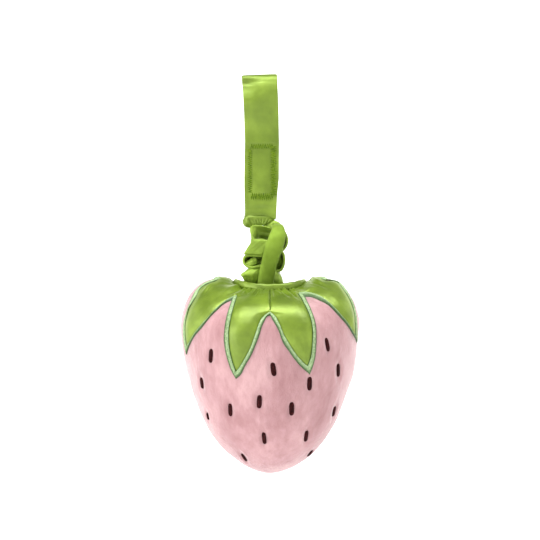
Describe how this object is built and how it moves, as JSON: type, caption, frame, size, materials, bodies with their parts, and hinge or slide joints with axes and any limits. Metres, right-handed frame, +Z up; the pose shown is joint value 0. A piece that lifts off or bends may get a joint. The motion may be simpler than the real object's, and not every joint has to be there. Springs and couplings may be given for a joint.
{
  "type": "hanging plush strawberry",
  "caption": "Stuffed plush strawberry with a satin leaf calyx and embroidered seeds, hung by a curled stretch cord from a flat satin strap that closes into a loop with hook-and-loop tape.",
  "frame": {"origin": "centre of the round fold at the top of the strap loop, where the bar or handle it hangs from sits", "axes": "+Z up, the way it hangs; the front with the closing tail faces -Y; +X runs along the fold, to the viewer's right"},
  "size_m": [0.1252, 0.1276, 0.2806],
  "materials": {
    "green_satin": "satin",
    "green_satin_calyx": "satin",
    "pink_plush": "short pile",
    "mint_embroidery": "satin stitch",
    "brown_embroidery": "satin stitch",
    "green_thread": "thread",
    "green_hook_loop": "hook and loop",
    "elastic": "matt",
    "polyester_filling": "fibre",
    "backing_cloth": "woven"
  },
  "bodies": {
    "strap": {"strap_rear_band": "green_satin", "loop_tape_patch": "green_hook_loop", "loop_tape_stitching": "green_thread"},
    "tail": {"strap_front_tail": "green_satin", "hook_tape_patch": "green_hook_loop", "hook_tape_stitching": "green_thread"},
    "strap_end": {"strap_end_fold": "green_satin", "upper_bar_tack": "green_thread"},
    "cord": {"curled_cord_cover": "green_satin", "cord_elastic_core": "elastic"},
    "cord_foot": {"cord_lower_end": "green_satin", "lower_bar_tack": "green_thread"},
    "plush": {"plush_gore_front_left": "pink_plush", "calyx_panel_front_left": "green_satin_calyx", "leaf_border_front_left": "mint_embroidery", "seeds_front_left": "brown_embroidery", "plush_gore_front_right": "pink_plush", "calyx_panel_front_right": "green_satin_calyx", "leaf_border_front_right": "mint_embroidery", "seeds_front_right": "brown_embroidery", "plush_gore_back_right": "pink_plush", "calyx_panel_back_right": "green_satin_calyx", "leaf_border_back_right": "mint_embroidery", "seeds_back_right": "brown_embroidery", "plush_gore_back_left": "pink_plush", "calyx_panel_back_left": "green_satin_calyx", "leaf_border_back_left": "mint_embroidery", "seeds_back_left": "brown_embroidery", "neck_collar": "green_satin_calyx", "gathering_thread": "green_thread", "neck_disc": "backing_cloth", "stuffing": "polyester_filling"}
  },
  "joints": [
    {"name": "closure_peel", "type": "hinge", "parent": "strap", "child": "tail", "pos_m": [0, -0.0088, 0], "axis": [-1, 0, 0], "range_deg": [0, 150]},
    {"name": "strap_swing", "type": "hinge", "parent": "strap", "child": "strap_end", "pos_m": [0, 0, -0.094], "axis": [1, 0, 0], "range_deg": [-60, 60]},
    {"name": "plush_sway", "type": "hinge", "parent": "strap_end", "child": "cord", "pos_m": [0.007, 0, -0.099], "axis": [0, 1, 0], "range_deg": [-30, 30]},
    {"name": "cord_stretch", "type": "slide", "parent": "cord", "child": "cord_foot", "axis": [0, 0, -1], "range_m": [0, 0.05], "stiffness_N_per_m": 40, "springref_m": -0.03, "deforming": ["curled_cord_cover", "cord_elastic_core"]},
    {"name": "plush_twist", "type": "hinge", "parent": "cord_foot", "child": "plush", "pos_m": [0.007, 0, -0.15], "axis": [0, 0, 1], "range_deg": [-120, 120], "stiffness_Nm_per_rad": 0.002}
  ]
}
